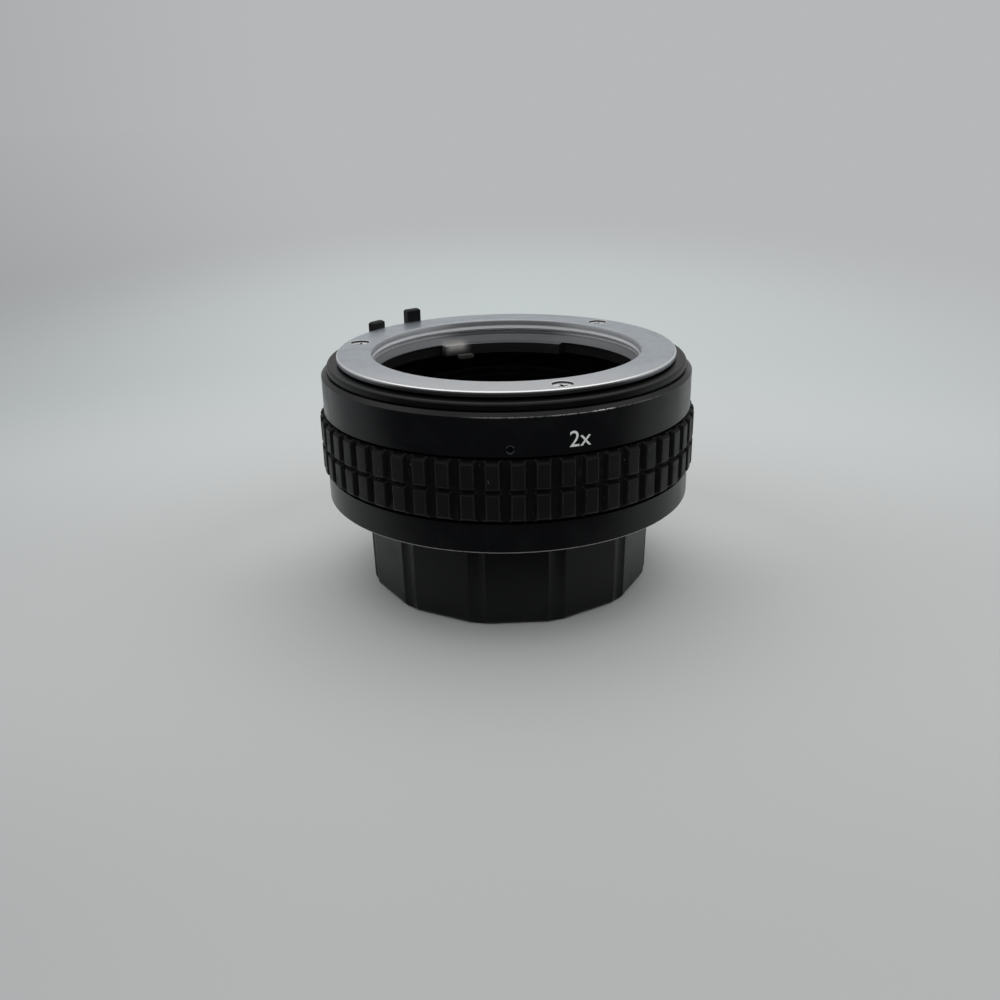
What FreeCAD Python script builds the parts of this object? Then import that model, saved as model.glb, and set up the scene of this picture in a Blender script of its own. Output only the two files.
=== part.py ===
import FreeCAD, Part
import math
import os

# Two-times teleconverter for a three-lug bayonet, standing on its faceted rear cap.
# Sizes in millimetres. The origin is the centre of the cap's underside and +Z is the
# optical axis, towards the lens side. Azimuths are in degrees from +X towards +Y.

# Clearances
RUN_GAP = 0.2               # between pieces that turn or slide on each other
FIT = 0.04                  # between pieces that are fixed together
MATE_GAP = 0.2              # between the male and the female half of a bayonet
CUT = 1.0                   # how far a cutting shape runs past the face it opens

# Glass and lens cell
GLASS_RADIUS = 14.9
GLASS_RIM = 1.5             # flat rim of an element outside its polished face
CELL_WALL = 1.4
CELL_FLANGE_WIDTH = 1.6
CELL_FLANGE_THICKNESS = 1.2
CELL_SHOULDER = 1.2
CELL_LIP = 1.0              # cell wall beyond each retaining ring
SPACER_THICKNESS = 1.8
RETAINER_THICKNESS = 1.4
RETAINER_SLOT = 1.6
MASK_THICKNESS = 0.5
MASK_RIM = 0.9              # rim of the mask at the window's corners
FILM_FRAME = (36.0, 24.0)   # the window has the film frame's shape
FRONT_ELEMENT = {"edge": 3.2, "front_sag": -1.1, "rear_sag": 0.0}
SECOND_ELEMENT = {"edge": 2.4, "front_sag": 0.9, "rear_sag": 0.0}
THIRD_ELEMENT = {"edge": 2.6, "front_sag": 0.0, "rear_sag": -0.9}
REAR_ELEMENT = {"edge": 2.8, "front_sag": 0.6, "rear_sag": 0.0}

# Aperture lever ring
BOSS_WALL = 2.0
LEVER_RING_THICKNESS = 1.2
LEVER_RIM = 0.4             # ring beyond the lever blades
LEVER_BLADE = 1.3
LEVER_WIDTH = 2.9
LEVER_AZIMUTH = 113.0
LEVER_TRAVEL = 30.0
FRONT_LEVER_RISE = 0.5      # above the front hub's lower edge
REAR_LEVER_OFFSET = 100.0   # rear lever ahead of the front one, in degrees
REAR_LEVER_REACH = 9.0      # below the rear mount's face
CLIP_THICKNESS = 0.5
CLIP_WIDTH = 1.3
CLIP_BITE = 0.6             # depth of the clip's groove
CLIP_OPENING = 24.0

# Front mount
THROAT_LEAD_IN = (0.24, 0.6)
THROAT_GROOVE_TOP = 1.65
THROAT_GROOVE_WIDTH = 0.65
THROAT_GROOVE_DEPTH = 0.4
THROAT_RELIEF = 0.4         # throat is wider between and behind the lugs
HUB_WALL = 1.3
FRONT_PLATE_THICKNESS = 0.9
FRONT_PLATE_EDGE = 0.15
LUG_DROP = 4.1              # front face down to the lugs
LUG_THICKNESS = 2.0
LUG_REACH = 1.3             # inward from the throat
LUG_SPAN = 60.0
LUG_AZIMUTH = 92.0
LUGS = 3
SPRING_THICKNESS = 0.3
SPRING_TONGUE = 44.0        # degrees of each tongue under a lug
SPRING_TONGUE_WIDTH = 0.45
SPRING_SLIT = 0.45

# Chassis
LAND_WIDTH = 3.46           # annular land under each mount plate
CHAMBER_STEP = 0.54         # hub bore down to the narrower chamber below it
REAR_CHAMBER = 5.3
WEB_THICKNESS = 2.0
PAD_HEIGHT = 4.4
PAD_COUNT = 3

# Screws
MOUNT_SCREWS = 3
FRONT_SCREW_AZIMUTH = -71.5
REAR_SCREW_AZIMUTH = -11.5
FRONT_SCREW_PLACE = 0.6     # across the land, from its inner edge
REAR_SCREW_PLACE = 0.5
SCREW_HEAD_RADIUS = 1.65
SCREW_SUNK = 0.35           # heads below the plate's face
SCREW_SHANK_RADIUS = 0.85
SCREW_LENGTH = 4.5
RECESS_WIDTH = 0.42
RECESS_SPAN = 1.8
RECESS_DEPTH = 0.5
SET_SCREW_RADIUS = 0.7
SET_SCREW_AZIMUTH = -89.25
SET_SCREW_DROP = 8.15       # front face down to the set screws
SET_SCREW_SUNK = 0.25
SET_SCREW_BITE = 2.4        # into the chassis pad
SET_SCREW_SLOT = 0.4

# Barrel and grip
BARREL_WALL = 2.2
BARREL_EDGE = 0.3
LOWER_BAND = 4.87
UPPER_BAND = 6.09
SHOULDER_CHAMFER = 0.6
SHOULDER_LEDGE = 0.4
GRIP_SEAT_WIDTH = 10.8
GRIP_SEAT_DEPTH = 1.1
GRIP_BASE = 1.0
GRIP_SEAM = 0.45            # open seam at each end of the grip
GRIP_END_SLOPE = 0.5        # the blocks slope to the seams
GRIP_BLOCK_HEIGHT = 0.78
GRIP_BLOCKS = 53
GRIP_BLOCK_TOP = 2.1
GRIP_SLOPE = 0.25
GRIP_ROW_GROOVE = 0.35
GRIP_AZIMUTH = -87.3

# Meter coupling
ROD_RADIUS = 0.6
ROD_CLEARANCE = 0.3
ROD_SEAT = 1.0
COUPLING_TRAVEL = 45.0
COUPLING_HEIGHT = 1.1
COUPLING_DROP = 0.4         # front plate's underside down to the ring
COUPLING_EDGE = 0.5
COUPLING_SKIRT = 1.8
REAR_COUPLING_HEIGHT = 1.8
REAR_COUPLING_SUNK = 0.35
REAR_PRONG_REACH = 3.6
PRONG_WIDTH = 3.0
PRONG_THICKNESS = 1.4
PRONG_EDGE = 0.15
PRONG_BEVEL = 0.3
PRONG_AZIMUTHS = (127.3, 144.3)
PRONG_RISES = (2.3, 1.3)    # above the front face

# Rear mount
REAR_PLATE_THICKNESS = 1.2
REAR_PLATE_PROUD = 0.75     # below the barrel's lower edge
REAR_TUBE_WALL = 0.7
REAR_TUBE_GAP = 0.38        # to the rear lever
EAR_THICKNESS = 1.6
EAR_SPAN = 56.0
EAR_AZIMUTH = 92.0
LOCK_NOTCH_RADIUS = 1.25
LOCK_NOTCH_AZIMUTH = 97.0

# Rear cap
CAP_HEIGHT = 15.3
CAP_FLOOR = 1.5
CAP_WALL = 1.2
CAP_CLEARANCE = 0.62
CAP_FACETS = 12
CAP_WIDE_FACET = 23.1       # degrees of each wide flat; narrow flats take the rest
CAP_AZIMUTH = -87.1
CAP_DRAFT = 0.3
CAP_ROUND = 1.0
CAP_FLUTE_DEPTH = 0.35      # hollow in each narrow flat
CAP_FLUTE_EDGE = 0.12       # flat left on both sides of a hollow
CAP_LUG_THICKNESS = 1.4
CAP_LUG_SPAN = 50.0

# Radii worked out from the glass outwards
cell_bore = GLASS_RADIUS + FIT
cell_radius = cell_bore + CELL_WALL
cell_aperture = GLASS_RADIUS - GLASS_RIM
boss_bore = cell_radius + FIT
boss_radius = boss_bore + BOSS_WALL
lever_ring_inner = boss_radius + RUN_GAP
clip_inner = boss_radius - CLIP_BITE + FIT
clip_outer = clip_inner + CLIP_WIDTH
lever_inner = clip_outer + RUN_GAP
lever_outer = lever_inner + LEVER_BLADE
lever_ring_outer = lever_outer + LEVER_RIM
rear_tube_bore = lever_outer + REAR_TUBE_GAP
rear_tube_radius = rear_tube_bore + REAR_TUBE_WALL
lug_radius = rear_tube_radius + MATE_GAP
throat_radius = lug_radius + LUG_REACH
ear_radius = throat_radius - MATE_GAP
cap_bore = ear_radius + CAP_CLEARANCE
cap_corner = (cap_bore + CAP_WALL) / math.cos(math.radians(CAP_WIDE_FACET / 2))

# Radii worked out from the throat outwards
relief_radius = throat_radius + THROAT_RELIEF
hub_radius = throat_radius + HUB_WALL
hub_bore = hub_radius + FIT
chamber_radius = hub_bore - CHAMBER_STEP
chassis_radius = hub_bore + LAND_WIDTH
front_screw_circle = hub_bore + FRONT_SCREW_PLACE * LAND_WIDTH
rear_screw_circle = chamber_radius + REAR_SCREW_PLACE * (chassis_radius - chamber_radius)
rod_circle = chassis_radius + ROD_CLEARANCE + ROD_RADIUS
barrel_bore = rod_circle + ROD_RADIUS + ROD_CLEARANCE
barrel_radius = barrel_bore + BARREL_WALL
grip_seat = barrel_radius - GRIP_SEAT_DEPTH
grip_floor = grip_seat + FIT + GRIP_BASE
grip_radius = grip_floor + GRIP_BLOCK_HEIGHT
coupling_radius = barrel_radius - SHOULDER_CHAMFER - SHOULDER_LEDGE
coupling_inner = chassis_radius + RUN_GAP
skirt_radius = barrel_bore - RUN_GAP
prong_outer = coupling_radius - PRONG_EDGE
prong_inner = prong_outer - PRONG_THICKNESS
front_plate_radius = prong_inner - RUN_GAP

# Heights worked out from the cap upwards
rear_face = CAP_HEIGHT + RUN_GAP
chassis_bottom = rear_face + REAR_PLATE_THICKNESS
barrel_bottom = rear_face + REAR_PLATE_PROUD
grip_bottom = barrel_bottom + LOWER_BAND
grip_top = grip_bottom + GRIP_SEAT_WIDTH
chamfer_bottom = grip_top + UPPER_BAND
barrel_top = chamfer_bottom + SHOULDER_CHAMFER
coupling_bottom = barrel_top + RUN_GAP
coupling_top = coupling_bottom + COUPLING_HEIGHT
skirt_bottom = barrel_top - COUPLING_SKIRT
chassis_top = coupling_top + COUPLING_DROP
front_face = chassis_top + FRONT_PLATE_THICKNESS
lug_top = front_face - LUG_DROP
hub_bottom = lug_top - LUG_THICKNESS
spring_bottom = hub_bottom - SPRING_THICKNESS
web_bottom = chassis_bottom + REAR_CHAMBER
web_top = web_bottom + WEB_THICKNESS
lever_ring_bottom = web_top + RUN_GAP
lever_ring_top = lever_ring_bottom + LEVER_RING_THICKNESS
clip_bottom = lever_ring_top + RUN_GAP
clip_top = clip_bottom + CLIP_THICKNESS
boss_top = clip_top + CLIP_THICKNESS
second_bottom = web_top
spacer_bottom = second_bottom + SECOND_ELEMENT["edge"]
front_bottom = spacer_bottom + SPACER_THICKNESS
front_retainer_bottom = front_bottom + FRONT_ELEMENT["edge"]
cell_top = front_retainer_bottom + RETAINER_THICKNESS + CELL_LIP
third_bottom = web_top - CELL_SHOULDER - THIRD_ELEMENT["edge"]
rear_bottom = third_bottom - REAR_ELEMENT["edge"]
mask_bottom = rear_bottom - MASK_THICKNESS
rear_retainer_bottom = mask_bottom - RETAINER_THICKNESS
cell_bottom = rear_retainer_bottom - CELL_LIP
ear_top = rear_face - LUG_DROP - LUG_THICKNESS - MATE_GAP
rear_tube_bottom = ear_top - EAR_THICKNESS
set_screw_height = front_face - SET_SCREW_DROP
pad_bottom = set_screw_height - PAD_HEIGHT / 2
pad_top = set_screw_height + PAD_HEIGHT / 2
rear_coupling_bottom = barrel_bottom + REAR_COUPLING_SUNK
rear_coupling_top = rear_coupling_bottom + REAR_COUPLING_HEIGHT

# Angles of the meter coupling: a rod runs from one chassis pad to the next
rod_angle = math.degrees(2 * ROD_RADIUS / rod_circle)
rod_stop_angle = math.degrees(ROD_CLEARANCE / rod_circle)
pad_pitch = 360.0 / PAD_COUNT
pad_span = pad_pitch - COUPLING_TRAVEL - rod_angle - 2 * rod_stop_angle
rod_azimuth = SET_SCREW_AZIMUTH + pad_span / 2 + rod_stop_angle + rod_angle / 2

AXIS = FreeCAD.Vector(0, 0, 1)
ORIGIN = FreeCAD.Vector(0, 0, 0)


# Building blocks

def turned(points, sweep=360.0):
    """Solid turned about the optical axis from a closed (radius, height) outline."""
    corners = [FreeCAD.Vector(radius, 0, height) for radius, height in points]
    outline = Part.makePolygon(corners + corners[:1])
    return Part.Face(outline).revolve(ORIGIN, AXIS, sweep)


def turned_edges(edges, sweep=360.0):
    """Solid turned about the optical axis from joined edges in the XZ plane."""
    outline = Part.Wire(Part.__sortEdges__(edges))
    return Part.Face(outline).revolve(ORIGIN, AXIS, sweep)


def at_azimuth(shape, azimuth):
    """Copy of a shape made at azimuth 0, turned to the given azimuth."""
    placed = shape.copy()
    placed.rotate(ORIGIN, AXIS, azimuth)
    return placed


def repeated(shape, count, azimuth):
    """List of copies spread evenly round the axis."""
    return [at_azimuth(shape, azimuth + index * 360.0 / count) for index in range(count)]


def ring(inner, outer, bottom, top):
    return turned([(inner, bottom), (outer, bottom), (outer, top), (inner, top)])


def sector(inner, outer, bottom, top, azimuth, span):
    """Piece of a ring, centred on an azimuth."""
    outline = [(inner, bottom), (outer, bottom), (outer, top), (inner, top)]
    return at_azimuth(turned(outline, span), azimuth - span / 2)


def post(radius, bottom, top, circle, azimuth):
    """Upright cylinder on a pitch circle."""
    foot = FreeCAD.Vector(circle, 0, bottom)
    return at_azimuth(Part.makeCylinder(radius, top - bottom, foot), azimuth)


def radial_rod(radius, inner, outer, height):
    """Cylinder that points outwards at azimuth 0."""
    start = FreeCAD.Vector(inner, 0, height)
    return Part.makeCylinder(radius, outer - inner, start, FreeCAD.Vector(1, 0, 0))


def radial_box(inner, outer, width, bottom, top):
    """Box that points outwards at azimuth 0."""
    corner = FreeCAD.Vector(inner, -width / 2, bottom)
    return Part.makeBox(outer - inner, width, top - bottom, corner)


def blade(inner, outer, bottom, top, width, azimuth):
    """Flat upright blade on a ring, square to the radius at the given azimuth."""
    return at_azimuth(radial_box(inner, outer, width, bottom, top), azimuth)


# Optical unit

def lens_face(height, sag):
    """Half outline of a polished face, from its pole to its rim; flat where the sag is zero."""
    pole = FreeCAD.Vector(0, 0, height + sag)
    rim = FreeCAD.Vector(cell_aperture, 0, height)
    if sag == 0:
        return Part.makeLine(pole, rim)
    middle = cell_aperture / 2
    curvature = (cell_aperture ** 2 + sag ** 2) / (2 * abs(sag))
    drop = curvature - math.sqrt(curvature ** 2 - middle ** 2)
    halfway = FreeCAD.Vector(middle, 0, height + sag - math.copysign(drop, sag))
    return Part.Arc(pole, halfway, rim).toShape()


def lens(bottom, element):
    """Glass element with a flat rim and two polished faces."""
    top = bottom + element["edge"]
    low_pole = FreeCAD.Vector(0, 0, bottom - element["rear_sag"])
    high_pole = FreeCAD.Vector(0, 0, top + element["front_sag"])
    low_rim = FreeCAD.Vector(cell_aperture, 0, bottom)
    low_edge = FreeCAD.Vector(GLASS_RADIUS, 0, bottom)
    high_edge = FreeCAD.Vector(GLASS_RADIUS, 0, top)
    high_rim = FreeCAD.Vector(cell_aperture, 0, top)
    return turned_edges([
        lens_face(bottom, -element["rear_sag"]),
        Part.makeLine(low_rim, low_edge),
        Part.makeLine(low_edge, high_edge),
        Part.makeLine(high_edge, high_rim),
        lens_face(top, element["front_sag"]),
        Part.makeLine(high_pole, low_pole),
    ])


def lens_cell():
    flange_radius = cell_radius + CELL_FLANGE_WIDTH
    flange_top = boss_top + CELL_FLANGE_THICKNESS
    shoulder_bottom = web_top - CELL_SHOULDER
    return turned([
        (cell_bore, cell_bottom),
        (cell_radius, cell_bottom),
        (cell_radius, boss_top),
        (flange_radius, boss_top),
        (flange_radius, flange_top),
        (cell_radius, flange_top),
        (cell_radius, cell_top),
        (cell_bore, cell_top),
        (cell_bore, web_top),
        (cell_aperture, web_top),
        (cell_aperture, shoulder_bottom),
        (cell_bore, shoulder_bottom),
    ])


def retainer(bottom, slot_bottom, slot_top):
    """Threaded ring with two spanner slots on its open side."""
    body = ring(cell_aperture, GLASS_RADIUS, bottom, bottom + RETAINER_THICKNESS)
    slot = radial_box(cell_aperture - CUT, GLASS_RADIUS + CUT, RETAINER_SLOT, slot_bottom, slot_top)
    return body.cut(repeated(slot, 2, 0.0))


def front_retainer():
    slot_bottom = front_retainer_bottom + RETAINER_THICKNESS / 2
    return retainer(front_retainer_bottom, slot_bottom, slot_bottom + RETAINER_THICKNESS)


def rear_retainer():
    slot_top = rear_retainer_bottom + RETAINER_THICKNESS / 2
    return retainer(rear_retainer_bottom, slot_top - RETAINER_THICKNESS, slot_top)


def light_mask():
    """Disc with a rectangular window behind the rear element."""
    disc = Part.makeCylinder(GLASS_RADIUS, MASK_THICKNESS, FreeCAD.Vector(0, 0, mask_bottom))
    scale = 2 * (GLASS_RADIUS - MASK_RIM) / math.hypot(*FILM_FRAME)
    width, depth = [side * scale for side in FILM_FRAME]
    corner = FreeCAD.Vector(-width / 2, -depth / 2, mask_bottom - CUT)
    return disc.cut(Part.makeBox(width, depth, MASK_THICKNESS + 2 * CUT, corner))


# Screws

def countersink(circle, radius, shank, mouth, depth, outward):
    """Cone and shank at azimuth 0 on a screw circle; outward is +1 up or -1 down."""
    base = FreeCAD.Vector(circle, 0, mouth)
    inward = FreeCAD.Vector(0, 0, -outward)
    cone_depth = radius - shank
    cone = Part.makeCone(radius, shank, cone_depth, base, inward)
    return cone.fuse(Part.makeCylinder(shank, depth, base, inward)).removeSplitter()


def mount_screw(circle, face, outward):
    """Countersunk screw with a cross recess, at azimuth 0."""
    top = face - outward * SCREW_SUNK
    body = countersink(circle, SCREW_HEAD_RADIUS, SCREW_SHANK_RADIUS, top, SCREW_LENGTH, outward)
    low = min(top, top - outward * RECESS_DEPTH)
    start = circle - RECESS_SPAN / 2
    along = radial_box(start, start + RECESS_SPAN, RECESS_WIDTH, low, low + RECESS_DEPTH)
    narrow = circle - RECESS_WIDTH / 2
    across = radial_box(narrow, narrow + RECESS_WIDTH, RECESS_SPAN, low, low + RECESS_DEPTH)
    return body.cut([along, across])


def mount_screw_hole(circle, face, outward):
    """Clearance for a sunk screw, open to the plate's face."""
    head = SCREW_HEAD_RADIUS + FIT
    shank = SCREW_SHANK_RADIUS + FIT
    top = face - outward * SCREW_SUNK
    seat = countersink(circle, head, shank, top, SCREW_LENGTH + FIT, outward)
    base = FreeCAD.Vector(circle, 0, top)
    well = Part.makeCylinder(head, SCREW_SUNK + CUT, base, FreeCAD.Vector(0, 0, outward))
    return seat.fuse(well).removeSplitter()


def front_screw_holes():
    hole = mount_screw_hole(front_screw_circle, front_face, 1)
    return repeated(hole, MOUNT_SCREWS, FRONT_SCREW_AZIMUTH)


def rear_screw_holes():
    hole = mount_screw_hole(rear_screw_circle, rear_face, -1)
    return repeated(hole, MOUNT_SCREWS, REAR_SCREW_AZIMUTH)


def front_mount_screws():
    screw = mount_screw(front_screw_circle, front_face, 1)
    return Part.makeCompound(repeated(screw, MOUNT_SCREWS, FRONT_SCREW_AZIMUTH))


def rear_mount_screws():
    screw = mount_screw(rear_screw_circle, rear_face, -1)
    return Part.makeCompound(repeated(screw, MOUNT_SCREWS, REAR_SCREW_AZIMUTH))


def set_screws():
    """Slotted grub screws that pin the barrel to the chassis pads."""
    outer = barrel_radius - SET_SCREW_SUNK
    inner = barrel_bore - SET_SCREW_BITE
    body = radial_rod(SET_SCREW_RADIUS, inner, outer, set_screw_height)
    low = set_screw_height - SET_SCREW_SLOT / 2
    high = set_screw_height + SET_SCREW_SLOT / 2
    width = 2 * (SET_SCREW_RADIUS + CUT)
    slot = radial_box(outer - SET_SCREW_SLOT, outer + CUT, width, low, high)
    return Part.makeCompound(repeated(body.cut(slot), PAD_COUNT, SET_SCREW_AZIMUTH))


def set_screw_holes():
    inner = barrel_bore - SET_SCREW_BITE - FIT
    hole = radial_rod(SET_SCREW_RADIUS + FIT, inner, barrel_radius + CUT, set_screw_height)
    return repeated(hole, PAD_COUNT, SET_SCREW_AZIMUTH)


# Mounts and chassis

def front_mount():
    """Bright plate and hub with three lugs inside the throat."""
    lead_width, lead_depth = THROAT_LEAD_IN
    groove_radius = throat_radius + THROAT_GROOVE_DEPTH
    groove_top = front_face - THROAT_GROOVE_TOP
    groove_bottom = groove_top - THROAT_GROOVE_WIDTH
    body = turned([
        (throat_radius + lead_width, front_face),
        (front_plate_radius - FRONT_PLATE_EDGE, front_face),
        (front_plate_radius, front_face - FRONT_PLATE_EDGE),
        (front_plate_radius, chassis_top),
        (hub_radius, chassis_top),
        (hub_radius, hub_bottom),
        (relief_radius, hub_bottom),
        (relief_radius, lug_top),
        (throat_radius, lug_top),
        (throat_radius, groove_bottom),
        (groove_radius, groove_bottom),
        (groove_radius, groove_top),
        (throat_radius, groove_top),
        (throat_radius, front_face - lead_depth),
    ])
    lug_root = throat_radius + HUB_WALL / 2
    lug = sector(lug_radius, lug_root, hub_bottom, lug_top, 0.0, LUG_SPAN)
    body = body.fuse(repeated(lug, LUGS, LUG_AZIMUTH)).removeSplitter()
    return body.cut(front_screw_holes())


def bayonet_spring():
    """Stamped ring clamped under the hub, with a tongue behind each lug."""
    body = ring(lug_radius, hub_radius, spring_bottom, hub_bottom)
    slit_inner = lug_radius + SPRING_TONGUE_WIDTH
    slit_outer = slit_inner + SPRING_SLIT
    low = spring_bottom - CUT
    high = hub_bottom + CUT
    gap_span = 360.0 / LUGS - LUG_SPAN
    gap = sector(lug_radius - CUT, relief_radius, low, high, 180.0 / LUGS, gap_span)
    slit = sector(slit_inner, slit_outer, low, high, 0.0, SPRING_TONGUE)
    end_span = math.degrees(SPRING_SLIT / lug_radius)
    end = sector(lug_radius - CUT, slit_outer, low, high, SPRING_TONGUE / 2, end_span)
    cuts = repeated(gap, LUGS, LUG_AZIMUTH)
    cuts += repeated(slit, LUGS, LUG_AZIMUTH)
    cuts += repeated(end, LUGS, LUG_AZIMUTH)
    return body.cut(cuts)


def lever_slot():
    """Arc through the web for the rear lever."""
    half_width = LEVER_WIDTH / 2 + RUN_GAP
    inner = lever_inner - RUN_GAP
    outer = math.hypot(lever_outer, half_width) + RUN_GAP
    spare = math.degrees(math.atan2(half_width, inner))
    span = LEVER_TRAVEL + 2 * spare
    middle = LEVER_AZIMUTH + REAR_LEVER_OFFSET + LEVER_TRAVEL / 2
    return sector(inner, outer, web_bottom - CUT, web_top + CUT, middle, span)


def chassis():
    """Inner housing: a wall between both mounts, a web and a boss for the lens cell."""
    body = turned([
        (chassis_radius, chassis_bottom),
        (chassis_radius, chassis_top),
        (hub_bore, chassis_top),
        (hub_bore, spring_bottom),
        (chamber_radius, spring_bottom),
        (chamber_radius, web_top),
        (boss_radius, web_top),
        (boss_radius, boss_top),
        (boss_bore, boss_top),
        (boss_bore, web_bottom),
        (chamber_radius, web_bottom),
        (chamber_radius, chassis_bottom),
    ])
    pad_root = chassis_radius - ROD_CLEARANCE
    pad = sector(pad_root, barrel_bore - FIT, pad_bottom, pad_top, 0.0, pad_span)
    body = body.fuse(repeated(pad, PAD_COUNT, SET_SCREW_AZIMUTH)).removeSplitter()
    cuts = [ring(boss_radius - CLIP_BITE, boss_radius + CUT, clip_bottom, clip_top), lever_slot()]
    return body.cut(cuts + front_screw_holes() + rear_screw_holes() + set_screw_holes())


def rear_mount():
    """Male bayonet: a plate, a short tube and three ears."""
    body = turned([
        (rear_tube_bore, rear_tube_bottom),
        (rear_tube_radius, rear_tube_bottom),
        (rear_tube_radius, rear_face),
        (chassis_radius, rear_face),
        (chassis_radius, chassis_bottom),
        (rear_tube_bore, chassis_bottom),
    ])
    ear_root = rear_tube_radius - REAR_TUBE_WALL / 2
    ear = sector(ear_root, ear_radius, rear_tube_bottom, ear_top, 0.0, EAR_SPAN)
    body = body.fuse(repeated(ear, LUGS, EAR_AZIMUTH)).removeSplitter()
    low = rear_face - CUT
    high = chassis_bottom + CUT
    notch = post(LOCK_NOTCH_RADIUS, low, high, rear_screw_circle, LOCK_NOTCH_AZIMUTH)
    return body.cut(rear_screw_holes() + [notch])


# Barrel and grip

def barrel():
    body = turned([
        (barrel_bore, barrel_bottom),
        (barrel_radius - BARREL_EDGE, barrel_bottom),
        (barrel_radius, barrel_bottom + BARREL_EDGE),
        (barrel_radius, grip_bottom),
        (grip_seat, grip_bottom),
        (grip_seat, grip_top),
        (barrel_radius, grip_top),
        (barrel_radius, chamfer_bottom),
        (barrel_radius - SHOULDER_CHAMFER, barrel_top),
        (barrel_bore, barrel_top),
    ])
    return body.cut(set_screw_holes())


def grip_ring():
    """Rubber ring with two rows of raised blocks, cut from a profiled ring."""
    bottom = grip_bottom + GRIP_SEAM
    top = grip_top - GRIP_SEAM
    middle = (bottom + top) / 2
    groove = GRIP_ROW_GROOVE / 2
    body = turned([
        (grip_seat + FIT, bottom),
        (grip_floor, bottom),
        (grip_radius, bottom + GRIP_END_SLOPE),
        (grip_radius, middle - groove - GRIP_SLOPE),
        (grip_floor, middle - groove),
        (grip_floor, middle + groove),
        (grip_radius, middle + groove + GRIP_SLOPE),
        (grip_radius, top - GRIP_END_SLOPE),
        (grip_floor, top),
        (grip_seat + FIT, top),
    ])
    pitch = 2 * math.pi * grip_radius / GRIP_BLOCKS
    mouth = (pitch - GRIP_BLOCK_TOP) / 2
    floor = mouth - GRIP_SLOPE
    wide = mouth + GRIP_SLOPE
    beyond = grip_radius + GRIP_BLOCK_HEIGHT
    corners = [(grip_floor, -floor), (beyond, -wide), (beyond, wide), (grip_floor, floor)]
    points = [FreeCAD.Vector(x, y, bottom - CUT) for x, y in corners]
    face = Part.Face(Part.makePolygon(points + points[:1]))
    channel = face.extrude(FreeCAD.Vector(0, 0, top - bottom + 2 * CUT))
    return body.cut(repeated(channel, GRIP_BLOCKS, GRIP_AZIMUTH + 180.0 / GRIP_BLOCKS))


# Meter coupling

def prong(inner, outer, bottom, top, azimuth):
    """Upright driving blade with bevelled top edges."""
    body = blade(inner, outer, bottom, top, PRONG_WIDTH, 0.0)
    upper = [edge for edge in body.Edges if all(abs(v.Z - top) < FIT for v in edge.Vertexes)]
    return at_azimuth(body.makeChamfer(PRONG_BEVEL, upper), azimuth)


def rod_holes(bottom, top):
    hole = post(ROD_RADIUS + FIT, bottom, top, rod_circle, 0.0)
    return repeated(hole, PAD_COUNT, rod_azimuth)


def coupling_ring():
    """Ring under the front plate with two driving prongs and a skirt for the rods."""
    edge_middle = COUPLING_EDGE * (1 - math.sqrt(0.5))
    start = FreeCAD.Vector(coupling_radius, 0, coupling_top - COUPLING_EDGE)
    halfway = FreeCAD.Vector(coupling_radius - edge_middle, 0, coupling_top - edge_middle)
    finish = FreeCAD.Vector(coupling_radius - COUPLING_EDGE, 0, coupling_top)
    outline = [
        finish,
        FreeCAD.Vector(coupling_inner, 0, coupling_top),
        FreeCAD.Vector(coupling_inner, 0, skirt_bottom),
        FreeCAD.Vector(skirt_radius, 0, skirt_bottom),
        FreeCAD.Vector(skirt_radius, 0, coupling_bottom),
        FreeCAD.Vector(coupling_radius, 0, coupling_bottom),
        start,
    ]
    lines = [Part.makeLine(a, b) for a, b in zip(outline, outline[1:])]
    body = turned_edges(lines + [Part.Arc(start, halfway, finish).toShape()])
    root = coupling_bottom + COUPLING_HEIGHT / 2
    prongs = [
        prong(prong_inner, prong_outer, root, front_face + rise, azimuth)
        for azimuth, rise in zip(PRONG_AZIMUTHS, PRONG_RISES)
    ]
    holes = rod_holes(skirt_bottom - CUT, skirt_bottom + ROD_SEAT)
    return body.fuse(prongs).removeSplitter().cut(holes)


def coupling_rods():
    rod = post(ROD_RADIUS, rear_coupling_top - ROD_SEAT, skirt_bottom + ROD_SEAT, rod_circle, 0.0)
    return Part.makeCompound(repeated(rod, PAD_COUNT, rod_azimuth))


def rear_coupling_ring():
    body = ring(coupling_inner, skirt_radius, rear_coupling_bottom, rear_coupling_top)
    span = math.degrees(PRONG_WIDTH / rod_circle)
    low = barrel_bottom - REAR_PRONG_REACH
    high = rear_coupling_bottom + REAR_COUPLING_HEIGHT / 2
    tongue = sector(coupling_inner, skirt_radius, low, high, PRONG_AZIMUTHS[0], span)
    body = body.fuse(tongue).removeSplitter()
    return body.cut(rod_holes(rear_coupling_top - ROD_SEAT, rear_coupling_top + CUT))


# Aperture lever

def lever_ring():
    """Ring on the chassis boss with a lever into the throat and one to the rear."""
    body = ring(lever_ring_inner, lever_ring_outer, lever_ring_bottom, lever_ring_top)
    front_tip = hub_bottom + FRONT_LEVER_RISE
    rear_tip = rear_face - REAR_LEVER_REACH
    rear_azimuth = LEVER_AZIMUTH + REAR_LEVER_OFFSET
    root = (lever_ring_bottom + lever_ring_top) / 2
    front = blade(lever_inner, lever_outer, root, front_tip, LEVER_WIDTH, LEVER_AZIMUTH)
    rear = blade(lever_inner, lever_outer, rear_tip, root, LEVER_WIDTH, rear_azimuth)
    return body.fuse([front, rear]).removeSplitter()


def lever_clip():
    """Open snap ring in the boss's groove, above the lever ring."""
    span = 360.0 - CLIP_OPENING
    return sector(clip_inner, clip_outer, clip_bottom, clip_top, LEVER_AZIMUTH, span)


# Rear cap

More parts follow.
